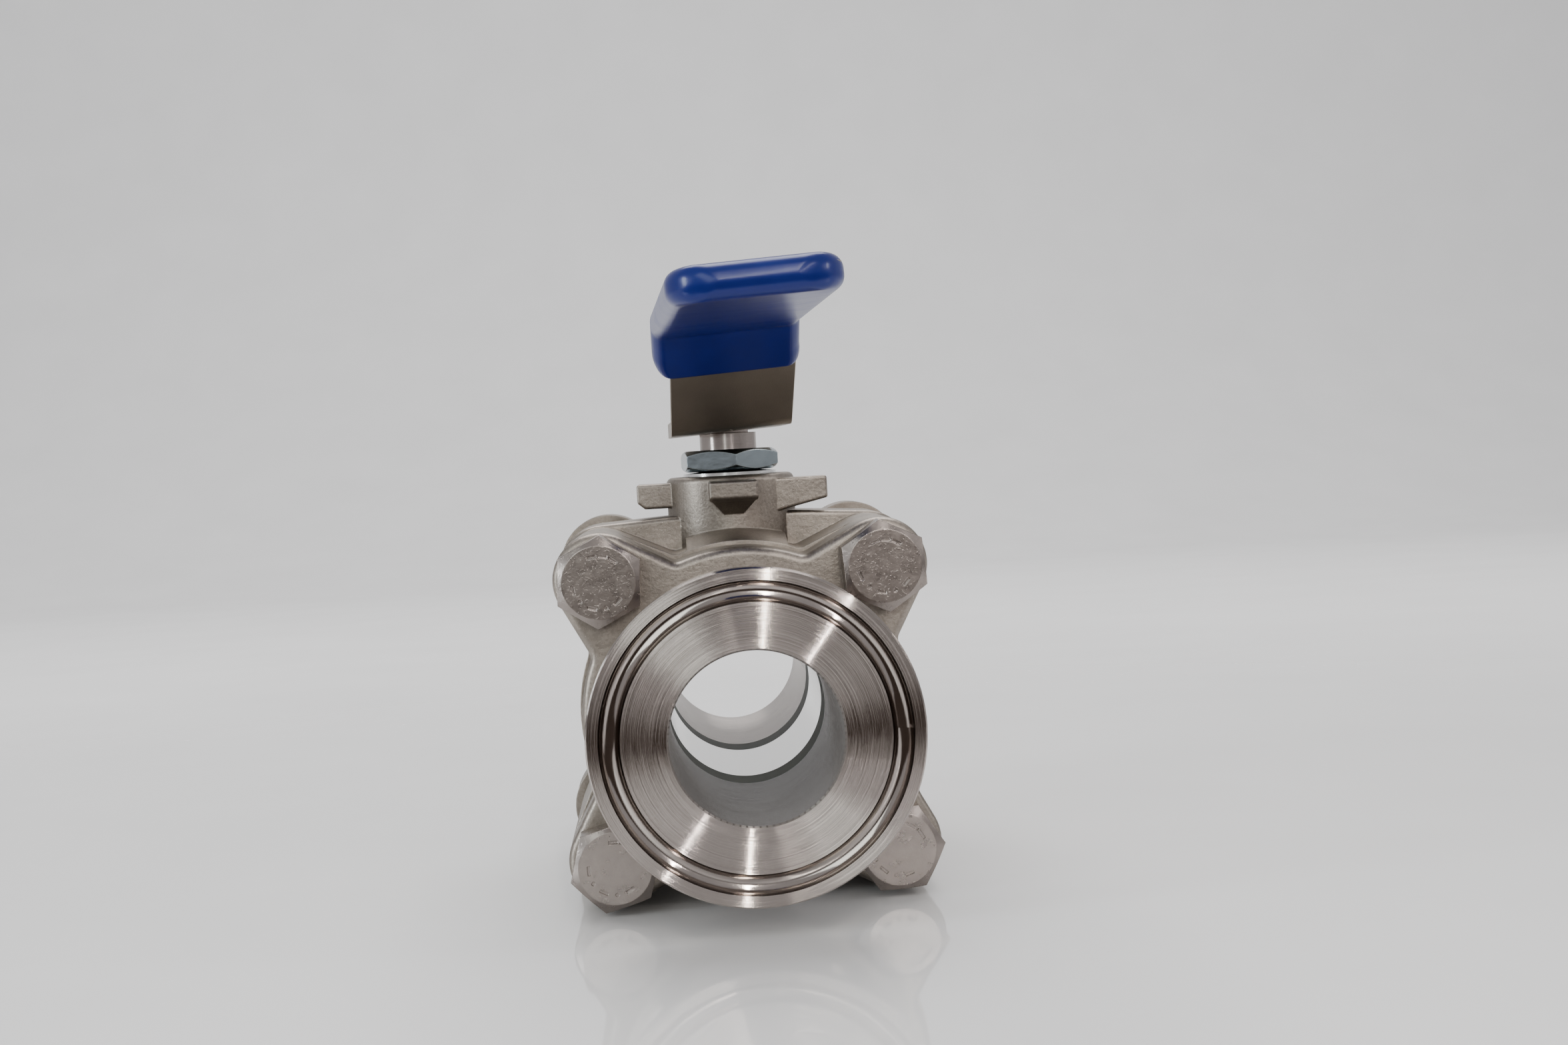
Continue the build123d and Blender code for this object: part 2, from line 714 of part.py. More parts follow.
def body_nuts():
    nut = hex_nut(bolt_flats, nut_height, bolt_diameter / 2)
    start = flange_face + spring_washer_thickness
    placed = []
    for index, (x, z) in enumerate(bolt_places()):
        placed.append(Pos(x, start, z) * Rot(-90, 0, 0) * Rot(0, 0, body_nut_turn * index) * nut)
    return placed


def opposite(part):
    """The same piece at the outlet."""
    return mirror(part, Plane.XZ)


def parts():
    """Every node's solids, by name."""
    inlet_seat, inlet_gasket = seat(), body_gasket()
    gland_radius = packing_radius - running_clearance
    vees = [
        packing_ring(rings_bottom + index * packing_ring_height, packing_vee, packing_vee)
        for index in range(packing_ring_count)
    ]
    return {
        "body": body(),
        "inlet_end_cap": end_cap(inlet_lug_radius),
        "outlet_end_cap": opposite(end_cap(outlet_lug_radius)),
        "ball": ball(),
        "inlet_seat": inlet_seat,
        "outlet_seat": opposite(inlet_seat),
        "inlet_body_gasket": inlet_gasket,
        "outlet_body_gasket": opposite(inlet_gasket),
        "stem": stem(),
        "thrust_washer": ring_z(stem_hole_radius, collar_radius, collar_top, shoulder_bottom),
        "stem_o_ring": stem_o_ring(),
        "packing_base_ring": packing_ring(packing_bottom, 0, packing_vee),
        "packing_rings": vees,
        "packing_top_ring": packing_ring(rings_top, packing_vee, 0),
        "gland_ring": ring_z(stem_hole_radius, gland_radius, gland_bottom, gland_top),
        "disc_springs": disc_springs(),
        "gland_nut": gland_nut(),
        "lever": lever(),
        "lever_sleeve": lever_sleeve(),
        "lever_washer": lever_washer(),
        "lever_nut": lever_nut(),
        "body_bolts": body_bolts(),
        "body_spring_washers": body_spring_washers(),
        "body_nuts": body_nuts(),
    }


def main():
    os.makedirs("parts", exist_ok=True)
    for name, solids in parts().items():
        shape = Compound(children=solids) if isinstance(solids, list) else solids
        export_step(shape, os.path.join("parts", name + ".step"))
        print(name, round(shape.volume, 1))


if __name__ == "__main__":
    main()
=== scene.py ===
"""Looks of a three-piece ball valve with clamp ferrule ends, laid out as an add-on.

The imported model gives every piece's place. Each operator finishes one group of pieces, and the
stage operator adds the floor, the lights and the camera. All lengths are metres, in the frame's
own axes: +Y along the bore from the inlet, +Z up the stem.
"""
import json
import math

import bmesh
import bpy
import numpy as np
from bpy.props import FloatProperty, FloatVectorProperty, PointerProperty
from mathutils import Matrix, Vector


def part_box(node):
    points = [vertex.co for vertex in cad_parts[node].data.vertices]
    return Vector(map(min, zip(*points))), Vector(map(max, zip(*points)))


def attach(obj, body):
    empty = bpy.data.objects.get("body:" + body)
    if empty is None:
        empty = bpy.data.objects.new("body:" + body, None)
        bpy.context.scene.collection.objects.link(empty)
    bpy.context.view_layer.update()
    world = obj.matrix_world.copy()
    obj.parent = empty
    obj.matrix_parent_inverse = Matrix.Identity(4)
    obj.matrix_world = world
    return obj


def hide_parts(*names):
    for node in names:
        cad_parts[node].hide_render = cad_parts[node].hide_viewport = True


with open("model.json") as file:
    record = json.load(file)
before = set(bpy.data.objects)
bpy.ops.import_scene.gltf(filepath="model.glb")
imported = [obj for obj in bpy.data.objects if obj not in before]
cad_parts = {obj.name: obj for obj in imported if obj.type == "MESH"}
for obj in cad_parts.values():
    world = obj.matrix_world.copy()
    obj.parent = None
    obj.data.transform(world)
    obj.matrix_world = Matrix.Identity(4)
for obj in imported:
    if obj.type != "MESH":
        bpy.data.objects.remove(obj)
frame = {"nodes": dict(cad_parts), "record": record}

bl_info = {
    "name": "Ball valve looks",
    "version": (1, 0, 0),
    "blender": (4, 5, 0),
    "location": "3D View > Sidebar > Valve",
    "description": "Finishes a three-piece ball valve and sets it on a plain floor",
    "category": "Object",
}

MM = 0.001
ROUND = 2 * math.pi
MERGE = 1e-7  # points closer than this are one point
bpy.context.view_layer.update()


def colour(name, description, value):
    """A colour property."""
    return FloatVectorProperty(
        name=name, description=description, subtype="COLOR", size=3, min=0, max=1, default=value
    )


def length(name, description, value):
    """A length property, in metres."""
    return FloatProperty(
        name=name, description=description, subtype="DISTANCE", unit="LENGTH", precision=5, default=value
    )


def angle(name, description, degrees):
    """An angle property, given in degrees and held in radians."""
    return FloatProperty(
        name=name, description=description, subtype="ANGLE", unit="ROTATION", default=math.radians(degrees)
    )


class ValveMetals(bpy.types.PropertyGroup):
    """Colours and grain of the valve's metals."""

    cast: colour("Cast steel", "Blasted casting", (0.37, 0.335, 0.30))
    turned: colour("Turned steel", "Machined ends and bores", (0.43, 0.39, 0.365))
    polished: colour("Polished steel", "Ball and disc springs", (0.86, 0.86, 0.85))
    strap: colour("Lever steel", "Sheet steel of the lever", (0.40, 0.365, 0.325))
    bolt: colour("Bolt steel", "Bolt heads and nuts", (0.34, 0.305, 0.285))
    plated: colour("Gland nut", "Bright, slightly blue nut", (0.39, 0.44, 0.465))
    grain: length("Cast grain", "Size of one grain of the blasted skin", 0.45 * MM)
    groove: length("Groove", "Radius of the middle of the ferrule's groove", 21.75 * MM)
    groove_half: length("Half groove", "Half of the width of the groove's bright floor", 1.4 * MM)
    tool_pitch: length("Tool pitch", "Distance between the finest lines of a turned face", 0.003 * MM)
    turned_back: length("Turned part", "Where a cap turns bright, behind the bolt heads' tops", 4.0 * MM)
    wear: length("Worn edge", "Width of the bright line along an edge", 0.35 * MM)


class ValvePlastics(bpy.types.PropertyGroup):
    """Colours of the seals and the sleeve."""

    sleeve: colour("Sleeve", "Dipped plastic of the lever's sleeve", (0.004, 0.015, 0.14))
    seat: colour("Seat", "Filled fluoropolymer of the seats", (0.42, 0.46, 0.42))
    # The seats' painted shade line, standing for the shadowed gap at the ball's edge, reaches this far from
    # the middle.
    shade_line_edge: length("Rubbed edge", "How far from the middle the ball's edge rubs the seats", 14.15 * MM)
    packing: colour("Packing", "Plain fluoropolymer", (0.78, 0.78, 0.75))
    rubber: colour("Rubber", "Stem O-ring", (0.02, 0.02, 0.02))


class ValveSleeve(bpy.types.PropertyGroup):
    """Shape of the sleeve on the lever."""

    plate_bottom: length("Plate underside", "Height of the lever's plate", 45.95 * MM)
    arm_bottom: length("Arm underside", "Height of the lever's arm", 62.25 * MM)
    thickness: length("Strap thickness", "Thickness of the lever", 2.5 * MM)
    riser_foot: length("Riser's foot", "Where the riser leaves the plate", -14.0 * MM)
    riser_angle: angle("Riser angle", "Slope of the riser", 37)
    bend: length("Bend", "Bend radius on the middle of the strap", 3.75 * MM)
    mouth: length("Mouth", "Where the sleeve's mouth stands on the riser", -27.0 * MM)
    tip: length("Strap tip", "End of the strap inside the sleeve", -97.6 * MM)
    half_width: length("Half width", "Half of the strap's width", 10.25 * MM)
    wall: length("Wall", "Thickness of the plastic", 1.05 * MM)
    gap: length("Gap", "Gap between strap and plastic", 0.1 * MM)
    tip_wall: length("Tip wall", "Plastic beyond the strap's end", 1.6 * MM)
    tip_round: length("Tip corner", "Round corner of the tip in plan", 6.5 * MM)
    mouth_round: length("Mouth corner", "Round corner at the mouth", 4.2 * MM)
    edge_round: length("Edge round", "Round edge along the sleeve", 2.0 * MM)
    swell: length("Swell", "Extra half width near the mouth", 0.5 * MM)
    shift: length("Shift", "How far the sleeve sits aside on the riser", -0.45 * MM)
    cant: angle("Cant", "How far the lever leans on the stem", 3.4)
    yaw: angle("Yaw", "How far the lever is turned on the stem", 1.4)


class ValveThreads(bpy.types.PropertyGroup):
    """Screw threads on the bolts' ends."""

    pitch: length("Pitch", "Distance from thread to thread", 1.25 * MM)
    crest: length("Crest", "Radius over the thread", 3.95 * MM)
    root: length("Root", "Radius under the thread", 3.42 * MM)
    end_chamfer: length("End chamfer", "Bevel on the bolt's end", 0.8 * MM)
    lap: length("Lap", "How far the thread goes into the nut", 0.4 * MM)
    nut_reach: length("Nut reach", "About the distance from a bolt's middle to its nut's side", 7.55 * MM)


class ValveStage(bpy.types.PropertyGroup):
    """Floor, light and camera."""

    floor: colour("Floor", "Pale floor", (0.80, 0.80, 0.80))
    floor_lean: angle("Floor lean", "How far the floor falls towards the outlet", 1.265)
    clearance: length("Clearance", "Room between the valve and the floor", 0.05 * MM)
    room_front: colour("Room in front", "Dim light from in front of the valve", (0.098, 0.078, 0.068))
    room_back: colour("Room behind", "Pale light from behind the valve", (0.86, 0.87, 0.90))
    camera_place: FloatVectorProperty(
        name="Camera place",
        description="Where the camera stands",
        subtype="XYZ",
        unit="LENGTH",
        default=(-10.49 * MM, -323.73 * MM, 41.67 * MM),
    )
    camera_yaw: angle("Camera yaw", "How far the camera looks to the right", 3.471)
    camera_pitch: angle("Camera pitch", "How far the camera looks up", -2.186)
    camera_roll: angle("Camera roll", "How far the camera leans", -3.17)
    lens: FloatProperty(name="Lens", description="Focal length on a 36 mm film", default=41.95)


# ---- Shader maths


class Link:
    """A node's output. Python arithmetic on it adds Math nodes to its material."""

    def __init__(self, shader, socket):
        self.shader = shader
        self.socket = socket

    def math(self, operation, *values):
        return self.shader.node("ShaderNodeMath", {"operation": operation}, dict(enumerate(values)))

    def __add__(self, other):
        return self.math("ADD", self, other)

    def __radd__(self, other):
        return self.math("ADD", other, self)

    def __sub__(self, other):
        return self.math("SUBTRACT", self, other)

    def __rsub__(self, other):
        return self.math("SUBTRACT", other, self)

    def __mul__(self, other):
        return self.math("MULTIPLY", self, other)

    def __rmul__(self, other):
        return self.math("MULTIPLY", other, self)

    def __truediv__(self, other):
        return self.math("DIVIDE", self, other)

    def __abs__(self):
        return self.math("ABSOLUTE", self)

    def step(self, low, high):
        """0 below low and 1 above high, with a smooth slope between."""
        settings = {"interpolation_type": "SMOOTHSTEP"}
        return self.shader.node("ShaderNodeMapRange", settings, {"Value": self, 1: low, 2: high})


def blank_material(name):
    """A material with an empty node tree."""
    material = bpy.data.materials.new(name)
    material.use_nodes = True
    material.node_tree.nodes.clear()
    return material


class Shader:
    """A material or world that is being put together from nodes."""

    def __init__(self, owner):
        self.owner = blank_material(owner) if isinstance(owner, str) else owner
        self.tree = self.owner.node_tree
        self.point = self.node("ShaderNodeTexCoord", output="Object")

    def node(self, kind, settings=None, inputs=None, output=0):
        """One output of a new node: its settings come first, then the values or links of its inputs."""
        made = self.tree.nodes.new(kind)
        for name, value in (settings or {}).items():
            setattr(made, name, value)
        for name, value in (inputs or {}).items():
            if isinstance(value, Link):
                self.tree.links.new(value.socket, made.inputs[name])
            else:
                made.inputs[name].default_value = value
        return None if output is None else Link(self, made.outputs[output])

    def vector(self, operation, *values, output=0):
        return self.node("ShaderNodeVectorMath", {"operation": operation}, dict(enumerate(values)), output)

    def scaled(self, vector, amount):
        return self.node("ShaderNodeVectorMath", {"operation": "SCALE"}, {0: vector, "Scale": amount})

    def parts(self, vector):
        """The x, y and z of a vector."""
        split = self.node("ShaderNodeSeparateXYZ", None, {0: vector})
        return [Link(self, socket) for socket in split.socket.node.outputs]

    def join(self, x, y, z):
        return self.node("ShaderNodeCombineXYZ", None, {0: x, 1: y, 2: z})

    def mix(self, amount, first, second):
        """A colour between two colours."""
        settings = {"data_type": "RGBA", "clamp_factor": True}
        return self.node("ShaderNodeMix", settings, {0: amount, 6: rgba(first), 7: rgba(second)}, 2)

    def noise(self, size, detail=2.0, vector=None, roughness=0.5):
        """Noise between 0 and 1 whose lumps are about size across."""
        inputs = {"Vector": vector or self.point, "Scale": 1 / size, "Detail": detail, "Roughness": roughness}
        return self.node("ShaderNodeTexNoise", None, inputs)

    def bump(self, height, depth, normal=None):
        """The normal of a surface whose height goes up to depth, over another normal if given."""
        inputs = {"Height": height, "Distance": depth, "Strength": 1.0}
        if normal:
            inputs["Normal"] = normal
        return self.node("ShaderNodeBump", None, inputs)

    def rounded(self, radius):
        """The surface's normal with its edges softened to a radius."""
        return self.node("ShaderNodeBevel", {"samples": 6}, {"Radius": radius})

    def edges(self, rounded):
        """Near 1 along edges, from the difference between the softened and the plain normal."""
        plain = self.node("ShaderNodeNewGeometry", output="Normal")
        turn = self.vector("DOT_PRODUCT", rounded, plain, output=1)
        return (1 - turn).step(0.02, 0.3)

    def finish(self, constants=None, **varying):
        """Adds the Principled shader: constants are set on its sockets, varying ones linked."""
        inputs = {name.replace("_", " ").title(): value for name, value in varying.items()}
        inputs.update(constants or {})
        self.output(self.node("ShaderNodeBsdfPrincipled", None, inputs))
        return self.owner

    def output(self, surface, kind="ShaderNodeOutputMaterial"):
        self.node(kind, None, {"Surface": surface}, output=None)


def rgba(value):
    """A colour with its alpha, or the link as it is."""
    return value if isinstance(value, Link) else (*tuple(value)[:3], 1.0)


def tinted(value, amount):
    """A colour made lighter or darker."""
    return tuple(min(1.0, part * amount) for part in value)


# ---- Materials


def cast_parts(shader, metals):
    """Colour, roughness and normal of the blasted casting: grain, mottling, worn edges and painted glints."""
    rounded = shader.rounded(metals.wear)
    worn = shader.edges(rounded) * shader.noise(2.5 * MM, 3).step(0.3, 0.6)
    grain = shader.noise(metals.grain, 2, roughness=0.6)
    lumps = shader.noise(metals.grain * 2.4, 2, roughness=0.6)
    swells = shader.noise(metals.grain * 7, 1)
    # Painted highlights: fine specks are made lighter in the colour to stand for glints off the grain, and
    # are also less rough.
    glints = shader.noise(metals.grain * 0.35, 1).step(0.66, 0.74)
    mottle = shader.noise(7 * MM, 4).step(0.35, 0.7)
    base = shader.mix(mottle, tinted(metals.cast, 0.86), tinted(metals.cast, 1.08))
    base = shader.mix(grain.step(0.62, 0.35) * 0.35, base, tinted(metals.cast, 0.6))
    base = shader.mix(worn * 0.45 + glints * 0.5, base, tinted(metals.cast, 1.8))
    roughness = 0.44 + (grain - 0.5) * 0.2 - worn * 0.14 - glints * 0.16
    height = grain * 0.6 + lumps * 0.5 + swells
    return base, roughness, shader.bump(height, 0.06 * MM, rounded)


def cast_material(metals):
    """The blasted casting of the body."""
    shader = Shader("cast_steel_blasted")
    base, roughness, normal = cast_parts(shader, metals)
    return shader.finish({"Metallic": 1.0}, base_color=base, roughness=roughness, normal=normal)


def turned_normal(shader, lean, tail, pitch, still):
    """The normal of a part turned about the bore axis, and the distance from that axis.

    Fine tool lines run round the axis, so the normal leans along the profile only, which draws the
    light out into streaks from the centre. A line leans by lean * c + tail * c cubed, where c is its
    chance value between -0.5 and 0.5. Where still(radius) is 1, the lines lean far less.
    """
    x, y, z = shader.parts(shader.point)
    radius = shader.vector("LENGTH", shader.join(x, 0.0, z), output=1)
    normal = shader.node("ShaderNodeNewGeometry", output="Normal")
    around = shader.vector("NORMALIZE", shader.join(z, 0.0, 0.0 - x))
    along = shader.vector("NORMALIZE", shader.vector("CROSS_PRODUCT", normal, around))
    line = shader.node("ShaderNodeMath", {"operation": "FLOOR"}, {0: (radius + y) / pitch})
    chance = shader.node("ShaderNodeTexWhiteNoise", {"noise_dimensions": "1D"}, {"W": line}) - 0.5
    calm = 0.88
    amount = (chance * lean + chance * chance * chance * tail) * (1 - calm * still(radius))
    leaning = shader.scaled(along, amount)
    return shader.vector("NORMALIZE", shader.vector("ADD", normal, leaning)), radius


def cap_material(metals, inner_edge, bore_radius):
    """A cast flange whose neck, ferrule and bore are turned bright. The inlet's bore is darkened with painted
    shade.
    """
    shader = Shader("end_cap_steel")
    base, roughness, normal = cast_parts(shader, metals)

    def in_groove(radius):
        return 1 - abs(radius - metals.groove).step(metals.groove_half, metals.groove_half + 0.3 * MM)

    turned, radius = turned_normal(shader, lean=0.7, tail=2.0, pitch=metals.tool_pitch, still=in_groove)
    along_bore = shader.parts(shader.point)[1]
    y = abs(along_bore)
    machined = y.step(inner_edge, inner_edge + 0.5 * MM)
    in_bore = 1 - radius.step(bore_radius + 0.2 * MM, bore_radius + 0.35 * MM)
    machined = machined.math("MAXIMUM", machined, in_bore)
    smear = shader.noise(6 * MM, 3).step(0.35, 0.75)
    bright = shader.mix(smear, tinted(metals.turned, 0.94), tinted(metals.turned, 1.06))
    rings = shader.noise(0.25 * MM, 3, shader.join(radius, y * 0.2, 0.0))
    bright = shader.mix(rings.step(0.4, 0.7) * 0.3, bright, tinted(metals.turned, 0.82))
    # Painted shade: the bore of the inlet half (y below zero) is darkened and made less metallic.
    inlet_bore_shade = in_bore * (1 - along_bore.step(-1 * MM, 1 * MM))
    bright = shader.mix(inlet_bore_shade * 0.9, bright, tinted(metals.turned, 0.3))
    gloss = 0.07 + smear * 0.03 + in_bore * 0.16
    mixed_normal = shader.node(
        "ShaderNodeMix", {"data_type": "VECTOR"}, {0: machined, 4: normal, 5: turned}, 1
    )
    return shader.finish(
        metallic=1 - inlet_bore_shade * 0.8,
        base_color=shader.mix(machined, base, bright),
        roughness=roughness * (1 - machined) + gloss * machined,
        normal=mixed_normal,
    )


def polished_material(metals):
    """Polished steel with faint scratches."""
    shader = Shader("polished_steel")
    haze = shader.noise(3 * MM, 4)
    scratches = shader.noise(0.15 * MM, 2)
    return shader.finish(
        {"Metallic": 1.0},
        base_color=shader.mix(haze, tinted(metals.polished, 0.93), metals.polished),
        roughness=0.12 + haze * 0.1,
        normal=shader.bump(scratches, 0.002 * MM),
    )


def lathe_material(name, tint, haze_size):
    """Steel turned about the stem: fine rings, softened edges and a faint haze."""
    shader = Shader(name)
    x, y, z = shader.parts(shader.point)
    radius = shader.vector("LENGTH", shader.join(x, y, 0.0), output=1)
    rings = shader.noise(0.12 * MM, 2, shader.join(radius, 0.0, z))
    haze = shader.noise(haze_size, 3)
    rounded = shader.rounded(0.15 * MM)
    return shader.finish(
        {"Metallic": 1.0},
        base_color=shader.mix(haze, tinted(tint, 0.9), tinted(tint, 1.08)),
        roughness=0.12 + haze * 0.1,
        normal=shader.bump(rings, 0.004 * MM, rounded),
    )


def bolt_material(metals):
    """Matt heads and nuts: dull faces, bright corners, light scuffs."""
    shader = Shader("bolt_steel")
    rounded = shader.rounded(0.22 * MM)
    worn = shader.edges(rounded)
    haze = shader.noise(1.6 * MM, 4, roughness=0.6)
    scuffs = shader.noise(0.35 * MM, 3).step(0.55, 0.75)
    base = shader.mix(haze, tinted(metals.bolt, 0.8), tinted(metals.bolt, 1.1))
    base = shader.mix(worn * 0.8, base, tinted(metals.bolt, 1.8))
    normal = shader.bump(haze + scuffs * 0.4, 0.03 * MM, rounded)
    return shader.finish(
        {"Metallic": 1.0},
        base_color=base,
        roughness=0.22 + haze * 0.14 - worn * 0.08,
        normal=normal,
    )


def plated_material(metals):
    """The gland nut's bright, cold plating."""
    shader = Shader("plated_nut")
    rounded = shader.rounded(0.25 * MM)
    worn = shader.edges(rounded)
    haze = shader.noise(2.2 * MM, 3)
    base = shader.mix(haze, tinted(metals.plated, 0.85), tinted(metals.plated, 1.1))
    return shader.finish(
        {"Metallic": 1.0},
        base_color=shader.mix(worn * 0.7, base, tinted(metals.plated, 1.45)),
        roughness=0.13 + haze * 0.1,
        normal=shader.bump(haze, 0.03 * MM, rounded),
    )


def strap_material(metals):
    """Satin sheet steel: fine grain drawn out along the strap, rubbed bright on its cut edges."""
    shader = Shader("lever_steel")
    x, y, z = shader.parts(shader.point)
    fine = shader.noise(0.16 * MM, 3, shader.join(x, y * 0.4, z * 0.4))
    cloud = shader.noise(5 * MM, 4)
    rounded = shader.rounded(0.25 * MM)
    worn = shader.edges(rounded)
    base = shader.mix(cloud, tinted(metals.strap, 0.88), tinted(metals.strap, 1.1))
    base = shader.mix(worn * 0.8, base, tinted(metals.strap, 1.7))
    return shader.finish(
        {"Metallic": 1.0},
        base_color=base,
        roughness=0.38 + (fine - 0.5) * 0.2 + cloud * 0.06,
        normal=shader.bump(fine, 0.02 * MM, rounded),
    )


def sleeve_material(plastics):
    """Dipped vinyl: deep blue, faintly wavy, with rubbed patches and dust."""
    shader = Shader("sleeve_vinyl")
    waves = shader.noise(4 * MM, 2)
    dust = shader.noise(0.25 * MM, 3).step(0.62, 0.8)
    # Here the mask holds rubbed wear only, lighter patches of the sleeve's own colour.
    wear_and_painted_shade = shader.noise(9 * MM, 4).step(0.45, 0.75)
    base = shader.mix(wear_and_painted_shade * 0.5, plastics.sleeve, tinted(plastics.sleeve, 1.35))
    return shader.finish(
        {"Coat Weight": 0.25, "Coat Roughness": 0.16, "Specular IOR Level": 0.45},
        base_color=base,
        roughness=0.3 + wear_and_painted_shade * 0.06 + dust * 0.06,
        normal=shader.bump(waves + dust * 0.04, 0.05 * MM),
    )


def plastic_material(name, tint, roughness, speck):
    """A moulded or turned seal, faintly mottled."""
    shader = Shader(name)
    cloud = shader.noise(1.5 * MM, 4)
    fine = shader.noise(speck, 2)
    return shader.finish(
        {"Specular IOR Level": 0.4},
        base_color=shader.mix(cloud, tinted(tint, 0.8), tinted(tint, 1.2)),
        roughness=roughness + (fine - 0.5) * 0.1,
        normal=shader.bump(fine, 0.02 * MM),
    )


def seat_material(plastics):
    """Filled fluoropolymer, with a thin dark line of painted shade where the seat meets the ball's edge."""
    shader = Shader("filled_seat")
    cloud = shader.noise(1.5 * MM, 4)
    y = abs(shader.parts(shader.point)[1])
    # Painted shade: a near-black line on the seat where it meets the ball, standing for the shadowed gap
    # between them.
    wear_and_painted_shade = 1 - y.step(plastics.shade_line_edge, plastics.shade_line_edge + 0.15 * MM)
    base = shader.mix(cloud, tinted(plastics.seat, 0.85), tinted(plastics.seat, 1.1))
    return shader.finish(
        {"Specular IOR Level": 0.4},
        base_color=shader.mix(wear_and_painted_shade, base, tinted(plastics.seat, 0.12)),
        roughness=0.45 + cloud * 0.1,
    )


def floor_material(stage):
    """A pale board with faint clouds and scuffs, glossy near the valve and duller away from it."""
    shader = Shader("floor_board")
    cloud = shader.noise(60 * MM, 3)
    scuffs = shader.noise(5 * MM, 6, roughness=0.7).step(0.66, 0.76)
    base = shader.mix(cloud, tinted(stage.floor, 0.96), tinted(stage.floor, 1.04))
    x, y, _ = shader.parts(shader.point)
    far = (abs(y) + abs(x) * 0.5).step(0.14, 0.7)
    return shader.finish(
        {"Specular IOR Level": 0.5},
        base_color=shader.mix(scuffs * 0.25, base, tinted(stage.floor, 0.75)),
        roughness=0.045 + cloud * 0.02 + scuffs * 0.15 + far * 0.6,
    )


def paint(material, *nodes):
    """Gives CAD nodes a material in place of their own."""
    for name in nodes:
        for slot in frame["nodes"][name].material_slots:
            slot.material = material


# ---- Surfaces


def add_piece(name, vertices, faces, material):
    """A mesh object at the origin from arrays of points and quads, with doubled points merged."""
    mesh = bpy.data.meshes.new(name)
    mesh.from_pydata(vertices.tolist(), [], faces.tolist())
    build = bmesh.new()
    build.from_mesh(mesh)
    bmesh.ops.remove_doubles(build, verts=build.verts, dist=MERGE)
    bmesh.ops.dissolve_degenerate(build, edges=build.edges, dist=MERGE)
    bmesh.ops.recalc_face_normals(build, faces=build.faces)
    build.to_mesh(mesh)
    build.free()
    mesh.shade_smooth()
    mesh.materials.append(material)
    piece = bpy.data.objects.new(name, mesh)
    bpy.context.scene.collection.objects.link(piece)
    return piece


def grid_faces(rings, points):
    """Quads of a grid of rings, each ring closed on itself."""
    ring, point = np.meshgrid(np.arange(rings - 1), np.arange(points), indexing="ij")
    after = (point + 1) % points
    low, high = ring * points, (ring + 1) * points
    return np.stack([low + point, low + after, high + after, high + point], axis=-1).reshape(-1, 4)


def slab_outline(flats, corners):
    """The round of a slab's section as four arrays: places along both flats and on the corners.

    A point is (place_x * (half_width - r) + r * lean_x, place_z * (half_thickness - r) + r * lean_z),
    where the place runs along a flat and the lean turns with the corner.
    """
    turn = np.linspace(0, math.pi / 2, corners)
    run = np.linspace(1, -1, flats)[1:-1]
    place_x, place_z, lean_x, lean_z = [], [], [], []
    for quarter, (sign_x, sign_z) in enumerate([(1, 1), (-1, 1), (-1, -1), (1, -1)]):
        around = turn + quarter * math.pi / 2
        place_x.append(np.full(corners, sign_x))
        place_z.append(np.full(corners, sign_z))
        lean_x.append(np.cos(around))
        lean_z.append(np.sin(around))
        if quarter in (0, 2):
            place_x.append(run * sign_x)
            place_z.append(np.full(len(run), sign_z))
            lean_x.append(np.zeros(len(run)))
            lean_z.append(np.full(len(run), sign_z))
    return [np.concatenate(part) for part in (place_x, place_z, lean_x, lean_z)]


def strap_path(s, shape):
    """Middle line of the strap from the sleeve's mouth: its (y, z) and slope at each distance s.

    It is the riser's straight line, then an arc of the bend's radius, then the level arm.
    """
    slope = shape.riser_angle
    rise = shape.arm_bottom - shape.plate_bottom
    half = shape.thickness / 2
    shift = half * math.tan(slope / 2)
    corner = (shape.riser_foot - rise / math.tan(slope) + shift, shape.arm_bottom + half)
    run = (shape.mouth - corner[0] + half * math.sin(slope)) / math.cos(slope)
    cut = shape.bend * math.tan(slope / 2)
    turn = np.clip((s - (run - cut)) / shape.bend, 0, slope)
    now = slope - turn
    straight = np.minimum(s, run - cut)
    after = np.maximum(s - (run - cut) - shape.bend * slope, 0)
    arc_y = shape.bend * (np.sin(slope) - np.sin(now))
    arc_z = shape.bend * (np.cos(now) - np.cos(slope))
    y = corner[0] + run * math.cos(slope) - straight * math.cos(slope) - arc_y - after
    z = corner[1] - run * math.sin(slope) + straight * math.sin(slope) + arc_z
    whole = run - cut + shape.bend * slope + (corner[0] - cut - shape.tip)
    return y, z, now, whole


def on_stem(points, shape):
    """Leans the points about the bore's direction at the plate and turns them about the stem."""
    lean = Matrix.Rotation(-shape.cant, 3, "Y")
    turn = Matrix.Rotation(shape.yaw, 3, "Z")
    pivot = np.array([0, 0, shape.plate_bottom])
    return (points - pivot) @ np.array(turn @ lean).T + pivot


